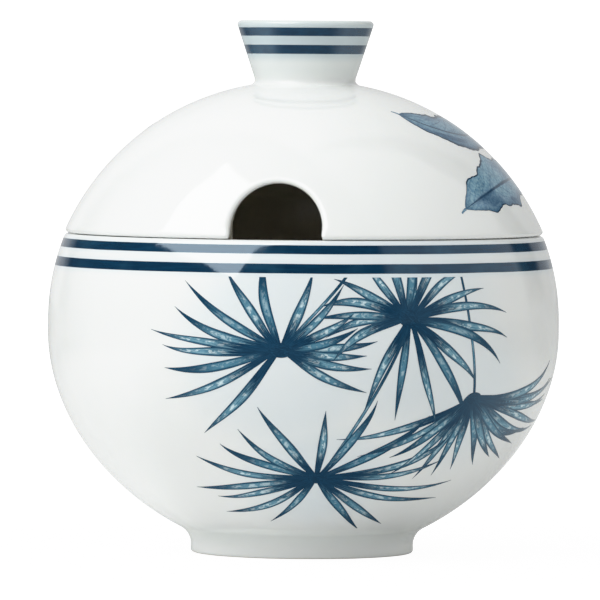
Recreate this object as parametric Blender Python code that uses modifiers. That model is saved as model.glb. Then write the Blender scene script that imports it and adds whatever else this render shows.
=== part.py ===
"""Porcelain sugar bowl with a lift-off domed lid.

Two fired pieces: a round bowl on a foot ring, and a domed lid with a conical
knob, a locating flange and an arched spoon notch in its front edge.

Frame: metres, +Z up, origin at the centre of the foot ring's resting face,
spoon notch towards -Y. The lid is a child of an empty on the common axis, at
the height of its seat, so it lifts along +Z and turns about the same axis.

Both pieces are profiles of (radius, height) points spun round the axis.
"""
import math

import bmesh
import bpy

MM = 0.001

# Mesh
SPIN_STEPS = 60               # facets round the axis
BELLY_STEPS = 12              # segments of each belly curve
MERGE_DISTANCE = 0.01 * MM
SHARP_ANGLE = math.radians(38.0)

# Bowl, outside
BODY_R = 52.5 * MM            # largest radius
BELLY_Z = 45.1 * MM           # below this height the belly curves in to the foot
BELLY_DEPTH = 46.15 * MM      # vertical half axis of the belly's superellipse
BELLY_POWER = 1.912           # 2 would be a plain ellipse
SHOULDER_Z = 47.7 * MM        # above this height the shoulder curves in to the rim
SHOULDER_ARC = 47.0 * MM      # radius of the shoulder's profile arc
SHOULDER_CENTRE = (BODY_R - SHOULDER_ARC, SHOULDER_Z)
SHOULDER_ROWS = (57.0 * MM, 54.5 * MM, 51.5 * MM, SHOULDER_Z)   # below the bands
RIM_Z = 65.35 * MM            # flat land that carries the lid
RIM_OUTER_ROUND = 1.0 * MM
RIM_INNER_ROUND = 0.6 * MM

# Bowl, inside
WALL = 3.2 * MM
FLOOR_Z = 6.0 * MM            # inner floor at the axis
INNER_POWER = 2.15            # squarer than outside, for an even wall

# Foot ring
FOOT_R = 22.85 * MM           # outside of the ring
FOOT_FILLET = 4.0 * MM        # hollow curve between ring and belly
FOOT_OUTER_ROUND = 0.6 * MM
FOOT_RING = 3.6 * MM          # width of the ring
FOOT_INNER_R = FOOT_R - FOOT_RING
FOOT_INNER_ROUND = 0.5 * MM
RECESS_Z = 2.6 * MM           # underside inside the ring, at the axis
RECESS_RISE = 0.35 * MM       # how much higher the underside is by the ring
RECESS_FILLET = 1.2 * MM

# Lid
SEAT_GAP = 0.3 * MM           # clearance between the rim and the lid's land
LID_Z = RIM_Z + SEAT_GAP      # the lid's land
DOME_ARC = 51.35 * MM         # radius of the dome's profile arc
DOME_CENTRE = (2.1 * MM, 45.45 * MM)
LID_WALL = 3.2 * MM
INNER_DOME_ARC = DOME_ARC - LID_WALL
LID_EDGE_ROUND = 0.7 * MM
FLANGE_R = 45.0 * MM          # outside of the locating flange
FLANGE_WALL = 2.8 * MM
FLANGE_INNER_R = FLANGE_R - FLANGE_WALL
FLANGE_DEPTH = 5.0 * MM
FLANGE_ROUND = 0.8 * MM
FLANGE_FILLET = 2.0 * MM      # between the flange and the inside of the dome
LAND_CHAMFER = 0.5 * MM       # slope across the corner of flange and land

# Knob
NECK_R = 10.26 * MM           # cone radius at NECK_Z
NECK_Z = 96.9 * MM
KNOB_SLOPE = 0.328            # radius gained per unit of height
KNOB_LEAN = math.degrees(math.atan(KNOB_SLOPE))   # cone's side from upright
KNOB_TOP_Z = 109.2 * MM
KNOB_EDGE_ROUND = 0.8 * MM
NECK_FILLET = 1.0 * MM
DISH_DEPTH = 0.8 * MM         # shallow dish in the top
DISH_R = 11.4 * MM
KNOB_WALL = 3.1 * MM          # around the hollow, square to the cone
KNOB_CAP = 3.0 * MM           # thickness over the hollow, at the axis
HOLLOW_ROUND = 1.6 * MM
MOUTH_ROUND = 1.0 * MM        # where the hollow opens under the dome
NECK_SEARCH = (80.0 * MM, 105.0 * MM)   # heights between which cone meets dome

# Spoon notch: an arch with short straight legs
NOTCH_HALF_WIDTH = 9.25 * MM
NOTCH_TOP_Z = 76.5 * MM
NOTCH_FOOT_Z = LID_Z - 2.0 * FLANGE_DEPTH   # clear below the flange
CUTTER_Y = -48.0 * MM         # middle of the cutter
CUTTER_HALF_DEPTH = 12.0 * MM

# Painted bands, as (lower, upper) heights; only faces beyond MIN_R are painted
BOWL_BANDS = ((58.83 * MM, 60.73 * MM), (62.68 * MM, 64.30 * MM))
BOWL_BAND_MIN_R = 47.38 * MM
KNOB_BANDS = ((102.36 * MM, 104.20 * MM), (106.02 * MM, 107.73 * MM))
KNOB_BAND_MIN_R = NECK_R

EMPTY_SIZE = 20.0 * MM
PORCELAIN = (0.86, 0.87, 0.86)
COBALT = (0.012, 0.050, 0.115)


# ------------------------------------------------------------ profile helpers
def arc(centre, radius, start, end, steps):
    """Points of a circle in the (radius, height) plane, angles in degrees
    from straight out (0) towards straight up (90)."""
    angles = [math.radians(start + (end - start) * i / steps) for i in range(steps + 1)]
    return [(centre[0] + radius * math.cos(angle), centre[1] + radius * math.sin(angle))
            for angle in angles]


def angle_to(centre, point):
    """Direction from centre to point, in the degrees that arc() takes."""
    return math.degrees(math.atan2(point[1] - centre[1], point[0] - centre[0]))


def circle_at(centre, radius, z):
    """The point at a height on the outer half of a circle."""
    return centre[0] + math.sqrt(radius ** 2 - (z - centre[1]) ** 2), z


def oval(half_r, half_z, power, turn):
    """A point of a superellipse's lower quarter, centred at BELLY_Z: turn is
    0 degrees at the axis and 90 at the widest place."""
    out, down = math.sin(math.radians(turn)), math.cos(math.radians(turn))
    return half_r * out ** (2.0 / power), BELLY_Z - half_z * down ** (2.0 / power)


def oval_normal(half_r, half_z, power, turn):
    """The superellipse's outward normal at the same place."""
    r, z = oval(half_r, half_z, power, turn)
    normal_r = (r / half_r) ** (power - 1.0) / half_r
    normal_z = -((BELLY_Z - z) / half_z) ** (power - 1.0) / half_z
    length = math.hypot(normal_r, normal_z)
    return normal_r / length, normal_z / length


def solve(function, low, high):
    """Bisection for a rising function's zero."""
    for _ in range(60):
        middle = 0.5 * (low + high)
        if function(middle) < 0.0:
            low = middle
        else:
            high = middle
    return 0.5 * (low + high)


# ------------------------------------------------------------- bowl's profile
def rim_round(path_arc, rounding):
    """Centre of a rounding under the land, on a circle parallel to the
    shoulder, and the direction in which it meets the shoulder."""
    centre = circle_at(SHOULDER_CENTRE, path_arc, RIM_Z - rounding)
    return centre, angle_to(SHOULDER_CENTRE, centre)


def bowl_inside():
    """From the floor at the axis up to the inner edge of the land."""
    points = [oval(BODY_R - WALL, BELLY_Z - FLOOR_Z, INNER_POWER, 90.0 * i / BELLY_STEPS)
              for i in range(BELLY_STEPS + 1)]
    inner_arc = SHOULDER_ARC - WALL
    centre, lean = rim_round(inner_arc + RIM_INNER_ROUND, RIM_INNER_ROUND)
    points += arc(SHOULDER_CENTRE, inner_arc, 0.0, lean, 4)
    points += arc(centre, RIM_INNER_ROUND, 180.0 + lean, 90.0, 3)[1:]
    return points


def bowl_shoulder():
    """From the outer edge of the land down to the widest place, with a row
    of points at each band's edges."""
    centre, lean = rim_round(SHOULDER_ARC - RIM_OUTER_ROUND, RIM_OUTER_ROUND)
    band_rows = sorted((z for band in BOWL_BANDS for z in band), reverse=True)
    return (arc(centre, RIM_OUTER_ROUND, 90.0, lean, 3)
            + [circle_at(SHOULDER_CENTRE, SHOULDER_ARC, z) for z in (*band_rows, *SHOULDER_ROWS)])


def bowl_belly():
    """From the widest place down to the top of the foot ring."""
    belly = (BODY_R, BELLY_DEPTH, BELLY_POWER)

    def fillet_centre(turn):
        r, z = oval(*belly, turn)
        normal_r, normal_z = oval_normal(*belly, turn)
        return r + FOOT_FILLET * normal_r, z + FOOT_FILLET * normal_z

    # the belly ends where the foot's hollow curve touches it
    touch = solve(lambda turn: fillet_centre(turn)[0] - FOOT_R - FOOT_FILLET, 5.0, 60.0)
    points = [oval(*belly, 90.0 + (touch - 90.0) * i / BELLY_STEPS)
              for i in range(BELLY_STEPS + 1)]
    centre = fillet_centre(touch)
    points += arc(centre, FOOT_FILLET, angle_to(centre, points[-1]), 180.0, 4)[1:]
    return points


def bowl_foot():
    """Outer edge, resting face and inner edge of the foot ring, then the
    underside in to the axis."""
    outer_centre = (FOOT_R - FOOT_OUTER_ROUND, FOOT_OUTER_ROUND)
    inner_centre = (FOOT_INNER_R + FOOT_INNER_ROUND, FOOT_INNER_ROUND)
    recess_r = FOOT_INNER_R - RECESS_FILLET
    recess_centre = (recess_r, RECESS_Z + RECESS_RISE - RECESS_FILLET)
    return (arc(outer_centre, FOOT_OUTER_ROUND, 0.0, -90.0, 3)
            + arc(inner_centre, FOOT_INNER_ROUND, 270.0, 180.0, 2)
            + arc(recess_centre, RECESS_FILLET, 0.0, 90.0, 3)
            + [(recess_r * part, RECESS_Z + RECESS_RISE * part ** 2)
               for part in (0.66, 0.33, 0.0)])


def bowl_profile():
    return bowl_inside() + bowl_shoulder() + bowl_belly() + bowl_foot()


# -------------------------------------------------------------- lid's profile
def knob_at(z, offset=0.0):
    """Radius at a height of the knob's cone, or of its parallel that lies
    offset outside it."""
    return NECK_R + KNOB_SLOPE * (z - NECK_Z) + offset / math.cos(math.radians(KNOB_LEAN))


def dome_to_cone(dome_arc, rounding, offset):
    """Centre of a rounding that touches the dome circle from outside and lies
    on the cone's parallel, and its direction from the dome's centre."""
    def beyond(z):
        return math.dist((knob_at(z, offset), z), DOME_CENTRE) - dome_arc - rounding

    z = solve(beyond, *NECK_SEARCH)
    centre = (knob_at(z, offset), z)
    return centre, angle_to(DOME_CENTRE, centre)


def lid_inside():
    """From the hollow's ceiling at the axis down to the back of the flange."""
    ceiling_z = KNOB_TOP_Z - DISH_DEPTH - KNOB_CAP
    corner_z = ceiling_z - HOLLOW_ROUND
    corner = (knob_at(corner_z, -KNOB_WALL - HOLLOW_ROUND), corner_z)
    mouth, mouth_angle = dome_to_cone(INNER_DOME_ARC, MOUTH_ROUND, MOUTH_ROUND - KNOB_WALL)

    # hollow curve between the dome and the flange
    turn_r = FLANGE_INNER_R - FLANGE_FILLET
    turn_height = math.sqrt((INNER_DOME_ARC - FLANGE_FILLET) ** 2
                            - (turn_r - DOME_CENTRE[0]) ** 2)
    turn = (turn_r, DOME_CENTRE[1] + turn_height)
    turn_angle = angle_to(DOME_CENTRE, turn)

    return ([(0.0, ceiling_z)]
            + arc(corner, HOLLOW_ROUND, 90.0, -KNOB_LEAN, 4)
            + arc(mouth, MOUTH_ROUND, 180.0 - KNOB_LEAN, 180.0 + mouth_angle, 3)
            + arc(DOME_CENTRE, INNER_DOME_ARC, mouth_angle, turn_angle, 9)[1:]
            + arc(turn, FLANGE_FILLET, turn_angle, 0.0, 3)[1:])


def lid_flange():
    """Round the foot of the flange and up its outside to the land."""
    round_z = LID_Z - FLANGE_DEPTH + FLANGE_ROUND
    return (arc((FLANGE_INNER_R + FLANGE_ROUND, round_z), FLANGE_ROUND, 180.0, 270.0, 3)
            + arc((FLANGE_R - FLANGE_ROUND, round_z), FLANGE_ROUND, 270.0, 360.0, 3)
            + [(FLANGE_R, LID_Z - LAND_CHAMFER), (FLANGE_R + LAND_CHAMFER, LID_Z)])


def lid_dome():
    """From the land's outer edge up the dome to the foot of the knob."""
    edge = circle_at(DOME_CENTRE, DOME_ARC - LID_EDGE_ROUND, LID_Z + LID_EDGE_ROUND)
    edge_angle = angle_to(DOME_CENTRE, edge)
    neck, neck_angle = dome_to_cone(DOME_ARC, NECK_FILLET, NECK_FILLET)
    return (arc(edge, LID_EDGE_ROUND, 270.0, 360.0 + edge_angle, 4)
            + arc(DOME_CENTRE, DOME_ARC, edge_angle, neck_angle, 13)[1:]
            + arc(neck, NECK_FILLET, 180.0 + neck_angle, 180.0 - KNOB_LEAN, 3)[1:])


def lid_knob():
    """Up the cone, with a row of points at each band's edges, over the
    rounded edge and across the dish to the axis."""
    round_z = KNOB_TOP_Z - KNOB_EDGE_ROUND
    edge = (knob_at(round_z, -KNOB_EDGE_ROUND), round_z)
    return ([(knob_at(z), z) for band in KNOB_BANDS for z in band]
            + arc(edge, KNOB_EDGE_ROUND, -KNOB_LEAN, 90.0, 4)
            + [(DISH_R * part, KNOB_TOP_Z - DISH_DEPTH * (1.0 - part ** 2) ** 2)
               for part in (1.0, 0.8, 0.55, 0.3, 0.0)])


def lid_profile():
    """The lid's profile with heights from its land, reversed so that, like
    the bowl's, its outer side runs top to bottom."""
    points = lid_inside() + lid_flange() + lid_dome() + lid_knob()
    return [(r, z - LID_Z) for r, z in reversed(points)]


# ---------------------------------------------------------------- construction
def collection(name):
    made = bpy.data.collections.new(name)
    bpy.context.scene.collection.children.link(made)
    return made


def glossy(name, colour, roughness):
    """A colour under a thin clear coat."""
    material = bpy.data.materials.new(name)
    material.use_nodes = True
    material.diffuse_color = (*colour, 1.0)
    shader = material.node_tree.nodes["Principled BSDF"]
    shader.inputs["Base Color"].default_value = (*colour, 1.0)
    shader.inputs["Roughness"].default_value = roughness
    shader.inputs["Coat Weight"].default_value = 0.3
    return material


def empty(name, where):
    made = bpy.data.objects.new(name, None)
    made.empty_display_size = EMPTY_SIZE
    where.objects.link(made)
    return made


def evaluated_mesh(ob):
    """A new mesh of the object with its modifiers or curve settings applied."""
    depsgraph = bpy.context.evaluated_depsgraph_get()
    return bpy.data.meshes.new_from_object(ob.evaluated_get(depsgraph))


def turned(name, profile, where):
    """Spins a profile once round +Z and keeps the result as the object's mesh,
    shaded smooth with its real edges sharp."""
    outline = bpy.data.meshes.new(name + "_profile")
    outline.from_pydata([(r, 0.0, z) for r, z in profile],
                        [(i, i + 1) for i in range(len(profile) - 1)], [])
    ob = bpy.data.objects.new(name, outline)
    where.objects.link(ob)
    spin = ob.modifiers.new("spin", "SCREW")
    spin.axis = "Z"
    spin.angle = math.tau
    spin.steps = spin.render_steps = SPIN_STEPS
    spin.use_merge_vertices = True
    spin.merge_threshold = MERGE_DISTANCE
    solid = evaluated_mesh(ob)
    ob.modifiers.clear()
    ob.data = solid
    solid.name = name
    bpy.data.meshes.remove(outline)
    solid.shade_smooth()
    solid.set_sharp_from_angle(angle=SHARP_ANGLE)
    return ob


def paint(ob, glaze, band_colour, bands, origin_z, min_r):
    """Glazes a piece and gives the faces between each pair of heights, beyond
    min_r from the axis, the band colour."""
    ob.data.materials.append(glaze)
    ob.data.materials.append(band_colour)
    for face in ob.data.polygons:
        z = face.center.z + origin_z
        r = math.hypot(face.center.x, face.center.y)
        if r > min_r and any(low < z < high for low, high in bands):
            face.material_index = 1


def arch_mesh():
    """The notch's arch drawn in XY, y up from the lid's land, and extruded
    both ways along Z."""
    spring_z = NOTCH_TOP_Z - NOTCH_HALF_WIDTH
    outline = [(NOTCH_HALF_WIDTH, NOTCH_FOOT_Z),
               *arc((0.0, spring_z), NOTCH_HALF_WIDTH, 0.0, 180.0, 20),
               (-NOTCH_HALF_WIDTH, NOTCH_FOOT_Z)]
    curve = bpy.data.curves.new("notch_outline", "CURVE")
    curve.dimensions = "2D"
    curve.fill_mode = "BOTH"
    curve.extrude = CUTTER_HALF_DEPTH
    line = curve.splines.new("POLY")
    line.points.add(len(outline) - 1)
    for point, (x, z) in zip(line.points, outline):
        point.co = (x, z - LID_Z, 0.0, 1.0)
    line.use_cyclic_u = True
    flat = bpy.data.objects.new("notch_outline", curve)
    bpy.context.scene.collection.objects.link(flat)
    mesh = evaluated_mesh(flat)
    bpy.data.objects.remove(flat)

    # join the caps to the sides, so that the cutter is closed
    bm = bmesh.new()
    bm.from_mesh(mesh)
    bmesh.ops.remove_doubles(bm, verts=bm.verts, dist=MERGE_DISTANCE)
    bmesh.ops.recalc_face_normals(bm, faces=bm.faces)
    bm.to_mesh(mesh)
    bm.free()
    return mesh


def cut_notch(lid, seat, glaze, where):
    """Runs the arch through the lid's front wall and flange only."""
    cutter = bpy.data.objects.new("notch_cutter", arch_mesh())
    cutter.rotation_euler = (math.radians(90.0), 0.0, 0.0)
    cutter.location = (0.0, CUTTER_Y, 0.0)
    cutter.hide_render = True
    cutter.display_type = "WIRE"
    cutter.parent = seat
    cutter.data.materials.append(glaze)
    where.objects.link(cutter)
    notch = lid.modifiers.new("spoon_notch", "BOOLEAN")
    notch.operation = "DIFFERENCE"
    notch.solver = "EXACT"
    notch.object = cutter


def main():
    for ob in list(bpy.data.objects):
        bpy.data.objects.remove(ob, do_unlink=True)

    parts = collection("sugar_bowl")
    cutters = collection("cutters")
    bowl_glaze = glossy("bowl_white_glaze", PORCELAIN, roughness=0.12)
    lid_glaze = glossy("lid_white_glaze", PORCELAIN, roughness=0.12)
    cobalt = glossy("band_cobalt", COBALT, roughness=0.15)

    base = empty("sugar_bowl_frame", parts)
    bowl = turned("bowl", bowl_profile(), parts)
    bowl.parent = base
    paint(bowl, bowl_glaze, cobalt, BOWL_BANDS, origin_z=0.0, min_r=BOWL_BAND_MIN_R)

    seat = empty("lid_axis", parts)
    seat.location = (0.0, 0.0, LID_Z)
    seat.parent = base
    lid = turned("lid", lid_profile(), parts)
    lid.parent = seat
    paint(lid, lid_glaze, cobalt, KNOB_BANDS, origin_z=LID_Z, min_r=KNOB_BAND_MIN_R)
    cut_notch(lid, seat, lid_glaze, cutters)


main()
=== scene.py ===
import functools
import math

import bmesh
import bpy
import numpy as np
from mathutils import Matrix, Vector


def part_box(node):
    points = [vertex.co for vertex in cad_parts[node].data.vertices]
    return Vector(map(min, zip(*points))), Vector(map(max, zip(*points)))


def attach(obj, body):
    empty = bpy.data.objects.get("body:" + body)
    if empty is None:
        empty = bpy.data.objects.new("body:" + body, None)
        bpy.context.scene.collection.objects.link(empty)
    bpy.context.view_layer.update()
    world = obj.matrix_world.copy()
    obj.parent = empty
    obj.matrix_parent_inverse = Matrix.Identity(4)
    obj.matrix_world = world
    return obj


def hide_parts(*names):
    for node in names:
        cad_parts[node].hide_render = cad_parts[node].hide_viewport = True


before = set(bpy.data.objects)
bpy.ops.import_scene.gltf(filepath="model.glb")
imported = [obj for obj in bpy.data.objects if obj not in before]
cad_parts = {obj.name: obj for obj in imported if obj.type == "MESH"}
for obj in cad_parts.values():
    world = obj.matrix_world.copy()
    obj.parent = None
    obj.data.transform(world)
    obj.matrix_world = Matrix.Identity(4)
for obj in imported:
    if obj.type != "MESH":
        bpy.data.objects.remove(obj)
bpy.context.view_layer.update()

BOWL_LOW, BOWL_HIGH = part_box("bowl")
LID_LOW, LID_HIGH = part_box("lid")

BODY_R = 52.5                                      # the belly's widest radius
U = (BOWL_HIGH[0] - BOWL_LOW[0]) / (2 * BODY_R)    # one design millimetre in metres
AX = 0.5 * (BOWL_HIGH[0] + BOWL_LOW[0])            # the common axis
AY = 0.5 * (BOWL_HIGH[1] + BOWL_LOW[1])
Z0 = BOWL_LOW[2]                                   # the floor the foot ring rests on

# Sizes and heights from here to the materials are in design millimetres; heights
# are above Z0.
RIM_Z = (BOWL_HIGH[2] - Z0) / U
KNOB_TOP_Z = (LID_HIGH[2] - Z0) / U
FLANGE_FOOT_Z = (LID_LOW[2] - Z0) / U
SEAT_Z = RIM_Z + 0.10                              # the lid's land, all but on the rim

# --------------------------------------------------------------- bowl sizes
WALL, FLOOR_Z = 3.2, 6.0
BELLY_Z = 45.1                                     # where both ovals are widest
# ovals: half width, half height, centre height, power
OUTER_OVAL = (BODY_R, 46.15, BELLY_Z, 1.912)
INNER_OVAL = (BODY_R - WALL, BELLY_Z - FLOOR_Z, BELLY_Z, 2.15)
SHOULDER_Z, SHOULDER_ARC = 47.7, 47.0              # the shoulder arc's centre and radius
SHOULDER_R = BODY_R - SHOULDER_ARC
INNER_LIP, OUTER_LIP = 0.6, 1.0                    # roundings of the rim
FOOT_R, FOOT_FILLET, FOOT_RING = 22.85, 4.0, 3.6   # FOOT_RING is the ring's thickness
FOOT_OUTER_EDGE, FOOT_INNER_EDGE = 0.6, 0.5
RECESS_Z, RECESS_RISE, RECESS_FILLET = 2.6, 0.35, 1.2

# ---------------------------------------------------------------- lid sizes
DOME_R, DOME_Z, DOME_ARC = 2.1, 45.45, 51.35       # the dome arc's centre and radius
LID_WALL = 3.2
DOME_INSIDE = DOME_ARC - LID_WALL
FLANGE_R, FLANGE_WALL, FLANGE_EDGE = 45.0, 2.8, 0.8
LAND_EDGE, LAND_FILLET, FLANGE_FILLET = 0.7, 0.5, 2.0
NECK_R, NECK_Z, KNOB_SLOPE = 10.26, 96.9, 0.328    # the knob is a cone, wider upwards
KNOB_TILT = math.atan(KNOB_SLOPE)
KNOB_DEG, KNOB_COS = math.degrees(KNOB_TILT), math.cos(KNOB_TILT)
NECK_FILLET, KNOB_EDGE = 1.0, 0.8
DISH_DEPTH, DISH_R = 0.8, 11.4                     # the dish in the knob's top
KNOB_WALL, KNOB_ROOF = 3.1, 3.0
HOLLOW_FILLET, MOUTH_FILLET = 1.6, 1.0
NOTCH_HALF, NOTCH_TOP, NOTCH_ROUND = 9.25, 76.5, 1.4
NOTCH_SPRING = NOTCH_TOP - NOTCH_HALF              # where the notch's arch begins
CUTTER_FOOT_Z, CUTTER_Y = 50.0, (-60.0, -36.0)
VOXEL = 0.66


# ------------------------------------------------------------------ profiles
def arc(centre_r, centre_z, radius, start, end, step=0.8):
    """A circle's points in the (radius, height) plane, degrees from outwards."""
    length = abs(math.radians(end - start)) * radius
    count = max(4, int(math.ceil(length / min(step, 0.22 * radius))))
    turn = np.radians(np.linspace(start, end, count + 1))
    return np.stack([centre_r + radius * np.cos(turn), centre_z + radius * np.sin(turn)], 1)


def angle_to(centre_r, centre_z, r, z):
    return math.degrees(math.atan2(z - centre_z, r - centre_r))


def across_circle(centre, radius, offset):
    """One coordinate on a circle, from how far the other lies from its centre."""
    return centre + math.sqrt(radius ** 2 - offset ** 2)


def oval(half_r, half_z, centre_z, power, turn):
    """Lower half of a squarish oval; turn runs from 0 at the bottom to 90 at the side."""
    sin, cos = np.sin(np.radians(turn)), np.clip(np.cos(np.radians(turn)), 0, 1)
    return np.stack([half_r * sin ** (2 / power), centre_z - half_z * cos ** (2 / power)], -1)


def oval_normal(half_r, half_z, centre_z, power, turn):
    r, z = oval(half_r, half_z, centre_z, power, turn)
    normal_r = (r / half_r) ** (power - 1) / half_r
    normal_z = -((centre_z - z) / half_z) ** (power - 1) / half_z
    length = math.hypot(normal_r, normal_z)
    return normal_r / length, normal_z / length


def solve(miss, low, high):
    """Bisect for the zero of a rising function."""
    for _ in range(60):
        middle = 0.5 * (low + high)
        low, high = (middle, high) if miss(middle) < 0 else (low, middle)
    return 0.5 * (low + high)


def join(parts):
    """One chain without repeated points."""
    points = np.concatenate([np.atleast_2d(np.asarray(part, float)) for part in parts])
    keep = np.concatenate([[True], np.hypot(*np.diff(points, axis=0).T) > 1e-4])
    return points[keep]


def line(start, end, step=0.8):
    count = max(1, int(math.ceil(math.dist(start, end) / step)))
    return np.linspace(start, end, count + 1)


def chain_lengths(chain):
    """Distance along a chain to each of its points."""
    return np.concatenate([[0], np.cumsum(np.hypot(*np.diff(chain, axis=0).T))])


def spread(chain, step):
    """Points along a chain at an even spacing."""
    lengths = chain_lengths(chain)
    even = np.linspace(0, lengths[-1], max(2, int(round(lengths[-1] / step))) + 1)
    return np.stack([np.interp(even, lengths, chain[:, k]) for k in (0, 1)], 1)


def close_on_axis(parts):
    chain = join(parts)
    chain[0, 0] = chain[-1, 0] = 0.0
    return chain


def bowl_chain():
    """Inner floor at the axis, over the rim, down outside, and in under the foot.
    Also returns the outer side alone, foot to rim."""
    # inside and rim
    inner = spread(oval(*INNER_OVAL, np.linspace(0, 90, 400)), 0.9)
    inner_arc = SHOULDER_ARC - WALL
    inner_z = RIM_Z - INNER_LIP
    inner_r = across_circle(SHOULDER_R, inner_arc + INNER_LIP, inner_z - SHOULDER_Z)
    inner_lean = angle_to(SHOULDER_R, SHOULDER_Z, inner_r, inner_z)
    outer_z = RIM_Z - OUTER_LIP
    outer_r = across_circle(SHOULDER_R, SHOULDER_ARC - OUTER_LIP, outer_z - SHOULDER_Z)
    outer_lean = angle_to(SHOULDER_R, SHOULDER_Z, outer_r, outer_z)
    parts = [inner,
             arc(SHOULDER_R, SHOULDER_Z, inner_arc, 0, inner_lean),
             arc(inner_r, inner_z, INNER_LIP, 180 + inner_lean, 90),
             line((inner_r, RIM_Z), (outer_r, RIM_Z), 0.4),
             arc(outer_r, outer_z, OUTER_LIP, 90, outer_lean)]

    # outside, down to where the foot's fillet touches the oval
    def miss(turn):
        return (oval(*OUTER_OVAL, turn)[0] - FOOT_R - FOOT_FILLET
                + FOOT_FILLET * oval_normal(*OUTER_OVAL, turn)[0])

    touch = solve(miss, 5, 60)
    shoulder = arc(SHOULDER_R, SHOULDER_Z, SHOULDER_ARC, outer_lean, 0, 0.7)
    belly_side = spread(oval(*OUTER_OVAL, np.linspace(90, touch, 400)), 0.8)
    outer = join([shoulder, line(shoulder[-1], belly_side[0]), belly_side])

    # foot ring and the recess under it
    normal_r, normal_z = oval_normal(*OUTER_OVAL, touch)
    fillet_r = belly_side[-1][0] + FOOT_FILLET * normal_r
    fillet_z = belly_side[-1][1] + FOOT_FILLET * normal_z
    fillet_start = math.degrees(math.atan2(-normal_z, -normal_r))
    ring_r = FOOT_R - FOOT_RING
    edge = FOOT_INNER_EDGE
    corner_z = RECESS_Z + RECESS_RISE - RECESS_FILLET
    recess_r = ring_r - RECESS_FILLET
    inward = np.linspace(1, 0, 24)
    parts += [outer,
              arc(fillet_r, fillet_z, FOOT_FILLET, fillet_start, 180, 0.4),
              line((FOOT_R, fillet_z), (FOOT_R, FOOT_OUTER_EDGE), 0.4),
              arc(FOOT_R - FOOT_OUTER_EDGE, FOOT_OUTER_EDGE, FOOT_OUTER_EDGE, 0, -90),
              line((FOOT_R - FOOT_OUTER_EDGE, 0), (ring_r + edge, 0), 0.4),
              arc(ring_r + edge, edge, edge, 270, 180),
              line((ring_r, edge), (ring_r, corner_z), 0.4),
              arc(recess_r, corner_z, RECESS_FILLET, 0, 90),
              np.stack([recess_r * inward, RECESS_Z + RECESS_RISE * inward * inward], 1)]
    return close_on_axis(parts), outer[::-1]


def knob_at(z):
    return NECK_R + KNOB_SLOPE * (z - NECK_Z)


def knob_fillet(inset, dome_radius, fillet, low, high):
    """Centre of the fillet between the knob's cone, set in, and an arc of the dome."""
    def centre_r(z):
        return knob_at(z) - inset + fillet / KNOB_COS

    def miss(z):
        return math.hypot(centre_r(z) - DOME_R, z - DOME_Z) - dome_radius - fillet

    z = solve(miss, low, high)
    return centre_r(z), z


def lid_chain():
    """From the knob's dish down the outside, round the flange, and up inside
    to the ceiling of the knob's hollow.  Also returns the dome's outside."""
    # knob
    outward = np.linspace(0, 1, 18)
    dish_z = KNOB_TOP_Z - DISH_DEPTH * (1 - outward * outward) ** 2
    dish = np.stack([DISH_R * outward, dish_z], 1)
    knob_z = KNOB_TOP_Z - KNOB_EDGE
    knob_edge = arc(knob_at(knob_z) - KNOB_EDGE / KNOB_COS, knob_z, KNOB_EDGE, 90, -KNOB_DEG)
    neck_r, neck_z = knob_fillet(0.0, DOME_ARC, NECK_FILLET, 90, 105)
    neck_turn = angle_to(DOME_R, DOME_Z, neck_r, neck_z)
    neck = arc(neck_r, neck_z, NECK_FILLET, 180 - KNOB_DEG, 180 + neck_turn)

    # dome and its edge on the rim
    land_z = SEAT_Z + LAND_EDGE
    land_r = across_circle(DOME_R, DOME_ARC - LAND_EDGE, land_z - DOME_Z)
    land_turn = angle_to(DOME_R, DOME_Z, land_r, land_z)
    dome_side = arc(DOME_R, DOME_Z, DOME_ARC, neck_turn, land_turn, 0.7)

    # flange
    flange_in = FLANGE_R - FLANGE_WALL
    flange_z = FLANGE_FOOT_Z + FLANGE_EDGE
    turn_r = flange_in - FLANGE_FILLET
    turn_z = across_circle(DOME_Z, DOME_INSIDE - FLANGE_FILLET, turn_r - DOME_R)
    inside_start = angle_to(DOME_R, DOME_Z, turn_r, turn_z)

    # the knob's hollow
    knob_inset = KNOB_WALL / KNOB_COS
    ceiling = KNOB_TOP_Z - DISH_DEPTH - KNOB_ROOF
    hollow_z = ceiling - HOLLOW_FILLET
    hollow_r = knob_at(hollow_z) - knob_inset - HOLLOW_FILLET / KNOB_COS
    hollow = arc(hollow_r, hollow_z, HOLLOW_FILLET, -KNOB_DEG, 90)
    mouth_r, mouth_z = knob_fillet(knob_inset, DOME_INSIDE, MOUTH_FILLET, 80, 100)
    mouth_turn = angle_to(DOME_R, DOME_Z, mouth_r, mouth_z)
    mouth = arc(mouth_r, mouth_z, MOUTH_FILLET, 180 + mouth_turn, 180 - KNOB_DEG)

    chain = close_on_axis([
        dish,
        line(dish[-1], knob_edge[0], 0.4),
        knob_edge,
        line(knob_edge[-1], neck[0], 0.6),
        neck,
        dome_side,
        arc(land_r, land_z, LAND_EDGE, land_turn, -90),
        line((land_r, SEAT_Z), (FLANGE_R + LAND_FILLET, SEAT_Z), 0.4),
        arc(FLANGE_R + LAND_FILLET, SEAT_Z - LAND_FILLET, LAND_FILLET, 90, 180),
        line((FLANGE_R, SEAT_Z - LAND_FILLET), (FLANGE_R, flange_z), 0.5),
        arc(FLANGE_R - FLANGE_EDGE, flange_z, FLANGE_EDGE, 0, -90),
        arc(flange_in + FLANGE_EDGE, flange_z, FLANGE_EDGE, -90, -180),
        line((flange_in, flange_z), (flange_in, turn_z), 0.6),
        arc(turn_r, turn_z, FLANGE_FILLET, 0, inside_start),
        arc(DOME_R, DOME_Z, DOME_INSIDE, inside_start, mouth_turn, 0.9),
        mouth,
        line(mouth[-1], hollow[0], 0.5),
        hollow,
        line(hollow[-1], (0, ceiling), 0.7)])
    return chain, dome_side[::-1]


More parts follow.
